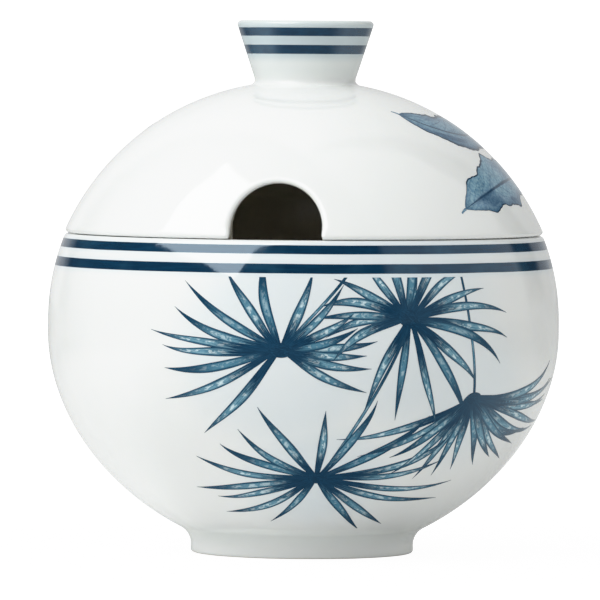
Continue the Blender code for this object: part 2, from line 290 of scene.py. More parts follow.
def chain_normals(chain):
    """Outward unit normals of a chain whose outer side runs top to bottom."""
    step = np.diff(chain, axis=0)
    step /= np.hypot(*step.T)[:, None]
    tangent = np.empty_like(chain)
    tangent[1:-1] = step[:-1] + step[1:]
    tangent[0], tangent[-1] = step[0], step[-1]
    for end in (0, -1):
        if chain[end, 0] < 1e-6:
            tangent[end] = (1.0 if tangent[end][0] > 0 else -1.0, 0.0)
    tangent /= np.hypot(*tangent.T)[:, None]
    return np.stack([-tangent[:, 1], tangent[:, 0]], 1)


# ----------------------------------------------------------------- mesh tools
def place(points):
    """Design millimetres about the axis to metres in the frame."""
    return np.asarray(points, float) * U + np.array([AX, AY, Z0])


def add_object(name, data):
    obj = bpy.data.objects.new(name, data)
    bpy.context.scene.collection.objects.link(obj)
    return obj


def new_piece(name, verts, faces, normals, material, body, tone, uv=None):
    """A smooth piece that rides on a body, with the given material."""
    mesh = bpy.data.meshes.new(name)
    mesh.from_pydata([tuple(vert) for vert in verts], [], faces)
    mesh.validate()
    mesh.shade_smooth()
    if uv is not None:
        layer = mesh.uv_layers.new(name="print")
        loops = np.empty(len(mesh.loops), np.int32)
        mesh.loops.foreach_get("vertex_index", loops)
        layer.data.foreach_set("uv", np.asarray(uv, np.float32)[loops].ravel())
    attribute = mesh.attributes.new("tone", "FLOAT", "POINT")
    attribute.data.foreach_set("value", np.asarray(tone, np.float32))
    mesh.normals_split_custom_set_from_vertices([tuple(normal) for normal in normals])
    mesh.materials.append(material)
    piece = add_object(name, mesh)
    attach(piece, body)
    return piece


def lathe(chain, steps):
    """Closed solid of revolution: vertices, faces and normals in design millimetres."""
    turn = np.arange(steps) * 2 * math.pi / steps
    sin, cos = np.sin(turn), -np.cos(turn)
    verts, normals = [], []
    for (r, z), (normal_r, normal_z) in zip(chain, chain_normals(chain)):
        if r < 1e-6:
            verts.append([[0, 0, z]])
            normals.append([[0, 0, 1.0 if normal_z > 0 else -1.0]])
        else:
            verts.append(np.stack([r * sin, r * cos, np.full(steps, z)], 1))
            normals.append(np.stack([normal_r * sin, normal_r * cos,
                                     np.full(steps, normal_z)], 1))
    start = np.cumsum([0] + [len(ring) for ring in verts])
    faces = []
    for i in range(len(verts) - 1):
        here, below = start[i], start[i + 1]
        for j in range(steps):
            k = (j + 1) % steps
            if len(verts[i]) == 1:
                faces.append((here, below + j, below + k))
            elif len(verts[i + 1]) == 1:
                faces.append((here + j, below, here + k))
            else:
                faces.append((here + j, below + j, below + k, here + k))
    return np.concatenate(verts), faces, np.concatenate(normals)


# ------------------------------------------------------- the lid, with its notch
def profile_distance(flat, profile, profile_normals):
    """Signed distance of (radius, height) points to a profile, and its normal there."""
    coarse = profile.astype(np.float32)
    nearest = np.empty(len(flat), np.int64)
    for i in range(0, len(flat), 8000):
        part = flat[i:i + 8000].astype(np.float32)
        squared = ((part[:, None, 0] - coarse[None, :, 0]) ** 2
                   + (part[:, None, 1] - coarse[None, :, 1]) ** 2)
        nearest[i:i + 8000] = squared.argmin(1)
    best = np.full(len(flat), 1e9)
    normal = np.zeros((len(flat), 2))
    foot = np.zeros((len(flat), 2))
    for offset in (-1, 0):
        index = np.clip(nearest + offset, 0, len(profile) - 2)
        start = profile[index]
        edge = profile[index + 1] - start
        part = ((flat - start) * edge).sum(1) / np.maximum((edge * edge).sum(1), 1e-12)
        part = np.clip(part, 0, 1)[:, None]
        on_edge = start + edge * part
        distance = np.hypot(*(flat - on_edge).T)
        better = distance < best
        best[better] = distance[better]
        blend = profile_normals[index] * (1 - part) + profile_normals[index + 1] * part
        blend /= np.hypot(*blend.T)[:, None]
        normal[better] = blend[better]
        foot[better] = on_edge[better]
    return ((flat - foot) * normal).sum(1), normal


def lid_field(points, profile, profile_normals):
    """Signed distance to the notched lid, and its gradient.  The notch meets
    the lid's faces in a soft rounding, as glaze and fettling leave it."""
    x, y, z = points.T
    r = np.hypot(x, y)
    body, normal = profile_distance(np.stack([r, z], 1), profile, profile_normals)
    safe_r = np.maximum(r, 1e-9)
    body_slope = np.stack([normal[:, 0] * (x / safe_r), normal[:, 0] * (y / safe_r),
                           normal[:, 1]], 1)
    rise = np.maximum(z - NOTCH_SPRING, 0)
    reach = np.maximum(np.hypot(x, rise), 1e-9)
    notch = np.where(y < 0, NOTCH_HALF - reach, -50.0)
    notch_slope = np.stack([-x / reach, np.zeros_like(x), -rise / reach], 1)
    # the rounding is tighter close to the seat
    soft = NOTCH_ROUND * np.clip(0.30 + 0.70 * (z - SEAT_Z - 0.4) / 2.4, 0.30, 1.0)
    near_body, near_notch = np.maximum(body + soft, 0), np.maximum(notch + soft, 0)
    both = (near_body > 0) & (near_notch > 0)
    length = np.maximum(np.hypot(near_body, near_notch), 1e-9)
    field = np.where(both, length - soft, np.maximum(body, notch))
    rounded = ((near_body[:, None] * body_slope + near_notch[:, None] * notch_slope)
               / length[:, None])
    plain = np.where((body > notch)[:, None], body_slope, notch_slope)
    slope = np.where(both[:, None], rounded, plain)
    slope /= np.maximum(np.linalg.norm(slope, axis=1), 1e-9)[:, None]
    return field, slope


def notch_cutter():
    """A round-headed prism through the lid's front wall."""
    outline = [(NOTCH_HALF, CUTTER_FOOT_Z)]
    for turn in np.radians(np.linspace(0, 180, 41)):
        outline.append((NOTCH_HALF * math.cos(turn), NOTCH_SPRING + NOTCH_HALF * math.sin(turn)))
    outline.append((-NOTCH_HALF, CUTTER_FOOT_Z))
    bm = bmesh.new()
    rows = [[bm.verts.new((x, y, z)) for x, z in outline] for y in CUTTER_Y]
    bm.faces.new(rows[0])
    bm.faces.new(list(reversed(rows[1])))
    for i in range(len(outline)):
        j = (i + 1) % len(outline)
        bm.faces.new((rows[0][j], rows[0][i], rows[1][i], rows[1][j]))
    bmesh.ops.recalc_face_normals(bm, faces=bm.faces)
    mesh = bpy.data.meshes.new("lid_arch")
    bm.to_mesh(mesh)
    bm.free()
    return add_object("lid_arch", mesh)


def voxel_lid(chain):
    """Points and faces of the turned lid with the notch cut, on an even grid."""
    verts, faces, _ = lathe(chain, 200)
    mesh = bpy.data.meshes.new("lid_blank")
    mesh.from_pydata([tuple(vert) for vert in verts], [], faces)
    blank = add_object("lid_blank", mesh)
    cutter = notch_cutter()
    cut = blank.modifiers.new("cut", "BOOLEAN")
    cut.operation, cut.solver, cut.object = "DIFFERENCE", "EXACT", cutter
    grid = blank.modifiers.new("vox", "REMESH")
    grid.mode, grid.voxel_size, grid.adaptivity = "VOXEL", VOXEL, 0.0
    depsgraph = bpy.context.evaluated_depsgraph_get()
    result = bpy.data.meshes.new_from_object(blank.evaluated_get(depsgraph))
    bpy.data.objects.remove(blank)
    bpy.data.objects.remove(cutter)
    points = np.empty(len(result.vertices) * 3)
    result.vertices.foreach_get("co", points)
    faces = [tuple(face.vertices) for face in result.polygons]
    bpy.data.meshes.remove(result)
    return points.reshape(-1, 3), faces


def notched_lid(chain):
    points, faces = voxel_lid(chain)
    profile = spread(chain, 0.22)
    profile[0, 0] = profile[-1, 0] = 0.0
    normals = chain_normals(profile)
    normals[0] = (0.0, 1.0)
    normals[-1] = (0.0, -1.0)
    # slide the points evenly over the surface, then pull them exactly onto it
    edges = np.array([(face[i], face[(i + 1) % len(face)])
                      for face in faces for i in range(len(face))])
    size = len(points)
    count = np.bincount(edges[:, 0], minlength=size).astype(float)
    for step in range(4):
        field, slope = lid_field(points, profile, normals)
        points = points - slope * field[:, None]
        if step < 2:
            mean = np.zeros_like(points)
            for axis in range(3):
                mean[:, axis] = np.bincount(edges[:, 0], weights=points[edges[:, 1], axis],
                                            minlength=size) / count
            move = mean - points
            move -= slope * (move * slope).sum(1)[:, None]
            points = points + 0.5 * move
    return points, faces, lid_field(points, profile, normals)[1]


# -------------------------------------------------------------------- node kit
class Net:
    """Short calls for building a node tree.  Values may be sockets or constants."""

    def __init__(self, tree):
        self.tree = tree

    def node(self, kind, inputs=None, **properties):
        node = self.tree.nodes.new(kind)
        for key, value in properties.items():
            setattr(node, key, value)
        for key, value in (inputs or {}).items():
            self.feed(value, node.inputs[key])
        return node

    def feed(self, value, socket):
        if isinstance(value, bpy.types.NodeSocket):
            self.tree.links.new(value, socket)
        else:
            socket.default_value = value

    def math(self, operation, *values, clamp=False):
        return self.node("ShaderNodeMath", dict(enumerate(values)),
                         operation=operation, use_clamp=clamp).outputs[0]

    def add(self, first, second, clamp=False):
        return self.math("ADD", first, second, clamp=clamp)

    def subtract(self, first, second):
        return self.math("SUBTRACT", first, second)

    def multiply(self, first, second):
        return self.math("MULTIPLY", first, second)

    def scaled(self, value, times, plus):
        return self.math("MULTIPLY_ADD", value, times, plus)

    def highest(self, first, second):
        return self.math("MAXIMUM", first, second)

    def smooth(self, value, low, high, at_low=0.0, at_high=1.0):
        """A smooth step from at_low to at_high as the value goes from low to high."""
        inputs = {"Value": value, "From Min": low, "From Max": high,
                  "To Min": at_low, "To Max": at_high}
        return self.node("ShaderNodeMapRange", inputs,
                         interpolation_type="SMOOTHSTEP").outputs[0]

    def fall(self, value, low, high):
        return self.subtract(1.0, self.smooth(value, low, high))

    def mix(self, factor, first, second, mode="MIX"):
        return self.node("ShaderNodeMix", {0: factor, 6: first, 7: second},
                         data_type="RGBA", blend_type=mode).outputs[2]

    def mix_shader(self, factor, first, second):
        shaders = {1: first.outputs[0], 2: second.outputs[0]}
        return self.node("ShaderNodeMixShader", {0: factor, **shaders})

    def vector_math(self, operation, *values, output="Value"):
        return self.node("ShaderNodeVectorMath", dict(enumerate(values)),
                         operation=operation).outputs[output]


class MaterialNet(Net):
    """A new material's tree, with its object coordinates at hand."""

    def __init__(self, name):
        self.material = bpy.data.materials.new(name)
        self.material.use_nodes = True
        super().__init__(self.material.node_tree)
        self.bsdf = self.tree.nodes["Principled BSDF"]
        self.coords = self.node("ShaderNodeTexCoord").outputs["Object"]

    def math(self, operation, *values, clamp=False):
        # inputs that aren't given are zero
        return super().math(operation, *(values + (0.0, 0.0))[:3], clamp=clamp)

    def split(self, vector):
        return self.node("ShaderNodeSeparateXYZ", {0: vector}).outputs

    def vector(self, x, y, z):
        return self.node("ShaderNodeCombineXYZ", {0: x, 1: y, 2: z}).outputs[0]

    def noise(self, scale, detail=2.0, rough=0.5, vector=None):
        inputs = {"Vector": self.coords if vector is None else vector, "Scale": scale,
                  "Detail": detail, "Roughness": rough}
        return self.node("ShaderNodeTexNoise", inputs).outputs["Fac"]

    def cells(self, scale):
        """Distance to the nearest of many scattered points."""
        inputs = {"Vector": self.coords, "Scale": scale}
        return self.node("ShaderNodeTexVoronoi", inputs).outputs["Distance"]

    def tone(self):
        return self.node("ShaderNodeAttribute", attribute_name="tone").outputs["Fac"]

    def bump(self, height, distance, strength=1.0, over=None):
        inputs = {"Strength": strength, "Distance": distance, "Height": height}
        if over is not None:
            inputs["Normal"] = over
        return self.node("ShaderNodeBump", inputs).outputs[0]

    def surface(self, inputs):
        for key, value in inputs.items():
            self.feed(value, self.bsdf.inputs[key])


def srgb(*levels):
    parts = [level / 255 for level in levels]
    return tuple(part / 12.92 if part <= 0.04045 else ((part + 0.055) / 1.055) ** 2.4
                 for part in parts) + (1.0,)


WHITE = srgb(240, 241, 240)
WHITE_THICK = srgb(229, 234, 231)      # where the glaze pools it turns faintly green
# painted shade: a warm white for the inside, so that its shade looks brown
INSIDE_WARM_SHADE = srgb(238, 232, 217)
WHITE_FLASHED = srgb(224, 231, 234)
# painted shade: a greyer white that darkens the knob's cone
KNOB_PAINTED_SHADE = srgb(216, 223, 221)
IRON_SPECK = srgb(150, 138, 120)
CLAY_DARK, CLAY_PALE = srgb(206, 200, 188), srgb(232, 228, 219)
COBALT_DARK = srgb(9, 48, 74)
COBALT = srgb(12, 58, 86)
COBALT_STREAK = srgb(24, 72, 102)
COBALT_MID = srgb(72, 124, 148)
COBALT_WASH = srgb(140, 182, 198)
COBALT_PALE = srgb(206, 226, 232)
LEAF_INK = srgb(24, 50, 74)
LEAF_DEEP = srgb(34, 72, 104), srgb(62, 102, 132)
LEAF_PALE = srgb(104, 146, 172), srgb(150, 184, 198)
LEAF_VIOLET = srgb(124, 138, 172)
GLAZE_IOR = 1.60
HEAVY_TONE = (1.0, 1.2)                # leaves with a tone past 1 are printed heavier

# heights of the painted bands' edges
BOWL_BANDS = ((58.83, 60.73), (62.68, 64.42))
KNOB_BANDS = ((102.36, 104.20), (106.02, 107.73))
# the bleed beside the bands: how far it spreads, its softness, strength and colour
BOWL_HALO = dict(spread=0.5, soft=0.9, strength=0.5, colour=srgb(208, 222, 230))
KNOB_HALO = dict(spread=0.9, soft=1.3, strength=1.0, colour=srgb(196, 209, 213))


# ------------------------------------------------------------------- materials
def glaze_finish(net):
    """Gloss, faint waviness and tiny pits; returns the roughness and the normal."""
    wave = net.noise(scale=95.0, detail=1.0, rough=0.4)
    peel = net.noise(scale=520.0)
    pit = net.smooth(net.cells(scale=260.0), low=0.0, high=0.045)
    normal = net.bump(wave, distance=0.00022)
    normal = net.bump(peel, distance=0.000010, over=normal)
    normal = net.bump(pit, distance=0.000006, strength=0.6, over=normal)
    rough = net.scaled(net.noise(scale=60.0, detail=3.0), times=0.05, plus=0.045)
    net.surface({"IOR": GLAZE_IOR})
    return rough, normal


def band_mask(net, height, low, high, wobble, soft=0.045):
    """1 between two heights, with the slight wander of a hand-turned line."""
    level = net.add(height, wobble)
    return net.multiply(net.smooth(level, (low - soft) * U, (low + soft) * U),
                        net.fall(level, (high - soft) * U, (high + soft) * U))


def flashing(net, hearts, broad):
    """Where the glaze is faintly blue among the printed fans."""
    masks = []
    for point, reach in hearts:
        distance = net.vector_math("DISTANCE", net.coords, point)
        masks.append(net.fall(distance, (reach - 13.0) * U, reach * U))
    return net.multiply(functools.reduce(net.highest, masks),
                        net.scaled(broad, times=0.5, plus=0.55))


def glaze_material(name, bands, halo, inside_r, slope=0.0, foot=False, knob_shade=0.0, hearts=()):
    """White glaze with cobalt bands.  Paint lies outside a cone of radius inside_r
    at Z0 that widens by slope; the amount given for the knob is the strength of a painted
    shade that greys its cone; hearts are (point, reach) pairs that flash the glaze blue."""
    net = MaterialNet(name)
    rough, normal = glaze_finish(net)
    x, y, z = net.split(net.coords)
    squares = [net.math("POWER", net.subtract(value, axis), 2.0)
               for value, axis in ((x, AX), (y, AY))]
    radius = net.math("SQRT", net.add(*squares))
    height = net.subtract(z, Z0)

    def from_cone():
        return net.subtract(radius, net.multiply(height, slope))

    # white body: broad and fine tone variation, cooler where glaze gathers
    broad = net.noise(scale=28.0)
    fine = net.noise(scale=240.0, detail=3.0, rough=0.6)
    variation = net.add(net.multiply(broad, 0.7), net.multiply(fine, 0.3))
    white = net.mix(net.multiply(variation, 0.35), WHITE, WHITE_THICK)
    if foot:
        from_fillet = net.math("ABSOLUTE", net.subtract(height, 4.6 * U))
        pool = net.fall(from_fillet, low=0.0, high=3.2 * U)
        white = net.mix(net.multiply(pool, 0.55), white, WHITE_THICK)
    if hearts:
        white = net.mix(flashing(net, hearts, broad), white, WHITE_FLASHED)
    if knob_shade:
        # painted shade: the knob's cone, above the neck and outside its hollow, is greyed where it
        # overhangs and faces down
        above_neck = net.smooth(height, (NECK_Z - 1.5) * U, (NECK_Z + 2.5) * U)
        outside = net.smooth(from_cone(), (inside_r - 0.6) * U, (inside_r + 0.4) * U)
        shaded_knob = net.multiply(above_neck, outside)
        white = net.mix(net.multiply(shaded_knob, knob_shade), white, KNOB_PAINTED_SHADE)
    # painted shade: the inside is tinted warm so that its shade looks brown
    within = net.multiply(net.tone(), net.scaled(broad, times=0.3, plus=0.75))
    white = net.mix(within, white, INSIDE_WARM_SHADE)
    # a rare iron speck, as fired porcelain has
    speck = net.fall(net.cells(scale=95.0), low=0.012, high=0.03)
    white = net.mix(net.multiply(speck, 0.22), white, IRON_SPECK)

    # painted bands, and a little cobalt bleeding into the glaze beside them
    wander = net.subtract(net.noise(scale=75.0), 0.5)
    wobble = net.multiply(wander, 0.10 * U)
    painted, bled = [], []
    for low, high in bands:
        painted.append(band_mask(net, height, low, high, wobble))
        bled.append(band_mask(net, height, low - halo["spread"], high + halo["spread"],
                              wobble, halo["soft"]))
    outer = from_cone()

    def outside_only(mask):
        return net.multiply(mask, net.smooth(outer, (inside_r - 0.2) * U, (inside_r + 0.2) * U))

    paint = outside_only(functools.reduce(net.highest, painted))
    bleed = outside_only(functools.reduce(functools.partial(net.add, clamp=True), bled))
    white = net.mix(net.multiply(bleed, halo["strength"]), white, halo["colour"])
    # brush streaks run round the axis
    around = net.math("ARCTAN2", net.subtract(y, AY), net.subtract(x, AX))
    stretched = net.vector(net.multiply(around, 0.012), net.multiply(height, 3.2), 0.3)
    streak = net.noise(scale=520.0, detail=3.0, rough=0.6, vector=stretched)
    patch = net.noise(scale=130.0, detail=3.0, rough=0.55)
    cobalt = net.mix(net.smooth(streak, low=0.35, high=0.75), COBALT_DARK, COBALT)
    patch = net.multiply(net.smooth(patch, low=0.45, high=0.8), 0.18)
    cobalt = net.mix(patch, cobalt, COBALT_MID)
    colour = net.mix(paint, white, cobalt)

    if foot:
        # bare, fired clay on the resting face
        bare = net.multiply(net.fall(height, low=0.06 * U, high=0.24 * U),
                            net.smooth(radius, low=18.6 * U, high=19.0 * U))
        grain = net.noise(scale=2600.0, detail=4.0, rough=0.7)
        colour = net.mix(bare, colour, net.mix(grain, CLAY_DARK, CLAY_PALE))
        clay_rough = net.multiply(bare, 0.62)
        rough = net.add(net.multiply(rough, net.subtract(1.0, bare)), clay_rough)
        normal = net.bump(net.multiply(grain, bare), distance=0.00003, over=normal)
    net.surface({
        "Base Color": colour,
        "Roughness": rough,
        "Normal": normal,
        # glaze over the cobalt mirrors a little more, and faintly blue-green
        "IOR": net.scaled(paint, times=0.38, plus=GLAZE_IOR),
        "Specular Tint": net.mix(paint, (1, 1, 1, 1), (0.74, 0.89, 1.0, 1)),
        "Subsurface Weight": 0.12,
        "Subsurface Radius": (1.0, 0.86, 0.66),
        "Subsurface Scale": 0.0012})
    return net.material


class PrintNet(MaterialNet):
    """Printed cobalt under the glaze.  u runs along a strip and v across it; side is
    0 on the midline and 1 on the edges; print_tone differs from strip to strip."""

    def __init__(self, name):
        super().__init__(name)
        self.rough, self.normal = glaze_finish(self)
        uv_map = self.node("ShaderNodeUVMap", uv_map="print")
        self.u, self.v = self.split(uv_map.outputs[0])[:2]
        self.print_tone = self.tone()
        self.side = self.math("ABSOLUTE", self.scaled(self.v, times=2.0, plus=-1.0))
        self.seed = self.multiply(self.print_tone, 57.0)
        self.mottle = self.noise(scale=1500.0, detail=3.0, rough=0.65)

    def grain(self, along, across, **settings):
        """Noise that is different on each strip, repeating faster for larger factors."""
        vector = self.vector(self.multiply(self.u, along), self.multiply(self.v, across),
                             self.seed)
        return self.noise(vector=vector, **settings)

    def stripes(self, lane):
        """0 in the middle of each unit of lane, 0.5 where units meet."""
        return self.math("ABSOLUTE", self.subtract(self.math("FRACT", lane), 0.5))

    def finish(self, colour):
        self.surface({"Specular Tint": (0.62, 0.88, 1.0, 1), "Base Color": colour,
                      "Roughness": self.rough, "Normal": self.normal})
        return self.material


def leaf_material():
    """Broad leaves: a midrib, slanting veins, fine hatching and an inked outline."""
    net = PrintNet("leaf_print")
    u, v, side, tone = net.u, net.v, net.side, net.print_tone
    flow = net.grain(9.0, 4.0, scale=1.6, detail=4.0, rough=0.6)
    # veins leave the midrib at a slant and curve towards the tip
    slant = net.multiply(net.math("POWER", side, 1.4), 2.4)
    lane = net.subtract(net.multiply(u, 10.0), slant)
    lane = net.add(lane, net.multiply(flow, 0.5))
    vein = net.multiply(net.smooth(net.stripes(lane), low=0.40, high=0.48), 0.55)
    hatch = net.stripes(net.multiply(lane, 5.0))
    vein = net.highest(vein, net.multiply(net.smooth(hatch, low=0.25, high=0.5), 0.22))
    rib = net.fall(net.add(side, net.multiply(u, 0.03)), low=0.03, high=0.10)
    edge = net.smooth(side, low=0.86, high=0.99)
    # the inked outline is wider on heavy leaves
    outline = net.scaled(net.smooth(tone, *HEAVY_TONE), 0.07, side)
    outline = net.scaled(flow, 0.08, outline)
    ink = net.highest(net.smooth(outline, low=0.955, high=0.995), net.multiply(rib, 0.6))
    fold = net.grain(3.0, 2.4, scale=1.0)
    # shading in the grain, in folds, on one long side and at the stalk
    shade = net.highest(net.multiply(net.smooth(flow, low=0.42, high=0.72), 0.5),
                        net.multiply(net.smooth(fold, low=0.48, high=0.66), 0.8))
    shade = net.highest(shade, net.multiply(net.fall(v, low=0.02, high=0.30), 0.75))
    dark = net.highest(net.highest(rib, edge), net.highest(vein, shade))
    dark = net.highest(dark, net.multiply(net.fall(u, low=0.0, high=0.10), 0.8))
    heavy = net.smooth(tone, *HEAVY_TONE)
    dark = net.add(dark, net.multiply(heavy, 0.30), clamp=True)
    pale = net.mix(net.smooth(net.mottle, low=0.35, high=0.65), *LEAF_PALE)
    violet = net.multiply(net.smooth(fold, low=0.42, high=0.6), 0.30)
    pale = net.mix(violet, pale, LEAF_VIOLET)
    deep = net.mix(net.smooth(net.mottle, low=0.3, high=0.7), *LEAF_DEEP)
    return net.finish(net.mix(net.multiply(ink, 0.9), net.mix(dark, pale, deep), LEAF_INK))


def palm_material():
    """Palm blades: dark edges, root and tip, streaked and flecked between."""
    net = PrintNet("palm_print")
    side, tone = net.side, net.print_tone
    streak = net.grain(3.2, 5.5, scale=3.0, detail=3.0, rough=0.6)
    spot = net.grain(17.0, 2.2, scale=1.0, rough=0.55)
    nudge = net.multiply(net.subtract(streak, 0.5), 0.5)
    edge = net.smooth(net.add(side, net.multiply(nudge, 0.35)), low=0.42, high=0.80)
    # the dark root and tip reach differently far on each blade
    shift = net.add(nudge, net.multiply(net.subtract(tone, 0.5), 0.26))
    along = net.add(net.u, shift)
    root = net.fall(along, low=0.20, high=0.50)
    tip = net.smooth(along, low=0.56, high=0.84)
    dark = net.highest(net.multiply(edge, 0.88), root)
    dark = net.highest(dark, net.multiply(tip, 0.93))
    dark = net.highest(dark, net.smooth(tone, low=1.05, high=1.2))
    heavy = net.smooth(tone, low=0.45, high=0.95)
    fleck = net.multiply(net.smooth(spot, low=0.48, high=0.60),
                         net.fall(side, low=0.22, high=0.62))
    fleck = net.multiply(fleck, net.scaled(heavy, times=-0.6, plus=1.0))
    middle = net.mix(net.smooth(streak, low=0.35, high=0.7), COBALT_MID, COBALT_WASH)
    middle = net.mix(net.multiply(heavy, 0.8), middle, COBALT_MID)
    middle = net.mix(fleck, middle, COBALT_PALE)
    mottle = net.multiply(net.smooth(net.mottle, low=0.52, high=0.75), 0.35)
    middle = net.mix(mottle, middle, COBALT)
    deep = net.mix(net.smooth(streak, low=0.35, high=0.75), COBALT_DARK, COBALT_STREAK)
    return net.finish(net.mix(dark, middle, deep))


# --------------------------------------------------------------- printed decals
class Surface:
    """A turned outer side: local (east, north) millimetres about a base point map
    to it.  Distances along the side are measured up from its foot."""

    def __init__(self, chain):
        self.lengths = chain_lengths(chain)
        self.r, self.z = chain[:, 0], chain[:, 1]
        tangent = np.gradient(chain, self.lengths, axis=0)
        tangent /= np.hypot(*tangent.T)[:, None]
        self.normal_r, self.normal_z = tangent[:, 1], -tangent[:, 0]

    def at_height(self, z):
        return float(np.interp(z, self.z, self.lengths))

    def sample(self, values, length):
        return np.interp(length, self.lengths, values)

    def map(self, theta, base, east, north, lift):
        """Points and normals at east and north of (theta, base), lifted off the side."""
        length = base + north
        r = self.sample(self.r, length)
        theta = theta + east / (0.5 * (r + self.sample(self.r, base)))
        normal_r = self.sample(self.normal_r, length)
        normal_z = self.sample(self.normal_z, length)
        size = np.hypot(normal_r, normal_z)
        normal_r, normal_z = normal_r / size, normal_z / size
        z = self.sample(self.z, length)
        sin, cos = np.sin(theta), np.cos(theta)
        lifted = r + lift * normal_r
        points = np.stack([lifted * sin, -lifted * cos, z + lift * normal_z], -1)
        return points, np.stack([normal_r * sin, -normal_r * cos, normal_z], -1)


class Decal:
    """Collects thin closed strips that lie on a surface."""

    UNDERSIDE, FIRST_LIFT, LIFT_STEP = 0.008, 0.018, 0.0011   # heights off the surface

    def __init__(self, surface, theta, z, top=math.inf, bottom=-math.inf):
        self.surface = surface
        self.theta, self.base = math.radians(theta), surface.at_height(z)
        self.top, self.bottom = top, bottom
        self.verts, self.normals, self.uv, self.tone, self.faces = [], [], [], [], []
        self.count = 0
        self.rank = 0

    def strip(self, path, half, tone, across=6, along=30):
        """path(u) -> (east, north); half(u) -> (left, right) half widths; the far end
        stops at the pattern's top or bottom line where it would cross it."""
        dense = np.linspace(0, 1, 160)
        centre_line = np.array([path(u) for u in dense])
        tangent = np.gradient(centre_line, axis=0)
        tangent /= np.maximum(np.hypot(*tangent.T), 1e-9)[:, None]
        sideways = np.stack([-tangent[:, 1], tangent[:, 0]], 1)
        halves = np.array([half(u) for u in dense])
        rows, cols = along + 1, across + 1
        grid = np.empty((rows, cols, 2))
        grid_uv = np.empty((rows, cols, 2))
        for j, v in enumerate(np.linspace(-1, 1, cols)):
            lane = centre_line + sideways * ((halves[:, 0] if v > 0 else halves[:, 1]) * v)[:, None]
            end = 1.0
            height = self.base + lane[:, 1]
            over = (height > self.top) | (height < self.bottom)
            if over.any():
                k = int(over.argmax())
                if k == 0:
                    return
                limit = self.top if height[k] > self.top else self.bottom
                part = (limit - height[k - 1]) / (height[k] - height[k - 1])
                end = dense[k - 1] + part * (dense[k] - dense[k - 1])
            stations = np.linspace(0, end, rows)
            for axis in (0, 1):
                grid[:, j, axis] = np.interp(stations, dense, lane[:, axis])
            grid_uv[:, j, 0], grid_uv[:, j, 1] = stations, 0.5 + 0.5 * v
        # each strip lies a little above the one before
        self.rank += 1
        lift = self.FIRST_LIFT + self.LIFT_STEP * self.rank
        for level, facing in ((lift, 1.0), (self.UNDERSIDE, -1.0)):
            points, normals = self.surface.map(self.theta, self.base,
                                               grid[..., 0], grid[..., 1], level)
            self.verts.append(points.reshape(-1, 3))
            self.normals.append(normals.reshape(-1, 3) * facing)
            self.uv.append(grid_uv.reshape(-1, 2))
            self.tone.append(np.full(rows * cols, tone))
        self.add_faces(rows, cols)

    def add_faces(self, rows, cols):
        """Top, underside and the wall round them, for the strip just added."""
        upper, lower = self.count, self.count + rows * cols

        def index(i, j):
            return i * cols + j

        for i in range(rows - 1):
            for j in range(cols - 1):
                quad = (index(i, j), index(i + 1, j), index(i + 1, j + 1), index(i, j + 1))
                self.faces.append(tuple(upper + k for k in quad))
                self.faces.append(tuple(lower + k for k in reversed(quad)))
        ring = ([index(i, 0) for i in range(rows)]
                + [index(rows - 1, j) for j in range(1, cols)]
                + [index(i, cols - 1) for i in range(rows - 2, -1, -1)]
                + [index(0, j) for j in range(cols - 2, 0, -1)])
        for here, after in zip(ring, ring[1:] + ring[:1]):
            self.faces.append((upper + after, upper + here, lower + here, lower + after))
        self.count += 2 * rows * cols

    def make(self, name, material, body):
        verts, normals = np.concatenate(self.verts), np.concatenate(self.normals)
        # wind every face so that the top faces along the surface normal
        first = self.faces[0]
        facing = np.cross(verts[first[1]] - verts[first[0]], verts[first[2]] - verts[first[0]])
        faces = self.faces
        if facing @ normals[first[0]] <= 0:
            faces = [tuple(reversed(face)) for face in faces]
        new_piece(name, place(verts), faces, normals, material, body,
                  np.concatenate(self.tone), np.concatenate(self.uv))


def blade_path(angle, length, bend, squash=1.0, late=1.5, root=(0.0, 0.0), sway=0.0):
    """A blade leaves its root along angle and turns by bend towards its tip,
    swaying a little; squash flattens it as if the fan were seen at a slant."""
    stations = np.linspace(0, 1, 81)
    heading = angle + bend * stations ** late + sway * np.sin(2 * math.pi * stations)
    step = length / 80
    east = root[0] + np.concatenate([[0], np.cumsum(np.cos(heading[:-1]) * step)])
    north = root[1] + np.concatenate([[0], np.cumsum(np.sin(heading[:-1]) * step)]) * squash
    return lambda u: (np.interp(u, stations, east), np.interp(u, stations, north))


def curve_path(points):
    """A smooth line through or near a few (east, north) points."""
    points = np.array(points, float)
    lengths = chain_lengths(points)
    lengths /= lengths[-1]
    degree = min(3, len(points) - 1)
    east = np.polyfit(lengths, points[:, 0], degree)
    north = np.polyfit(lengths, points[:, 1], degree)
    return lambda u: (np.polyval(east, u), np.polyval(north, u))


def blade_half(width, skew, fullest):
    """Half widths of a blade that swells up to fullest and then tapers to a point."""
    def half(u):
        if u < fullest:
            share = 0.52 + 0.48 * math.sin(0.5 * math.pi * u / fullest) ** 1.2
        else:
            share = max(0.0, 1 - ((u - fullest) / (1 - fullest)) ** 1.45)
        size = max(share * width, 0.03)
        return size * (1 + skew), size * (1 - skew)
    return half


def taper(start, loss):
    """Equal half widths that shrink from start by loss."""
    return lambda u: (start - loss * u,) * 2


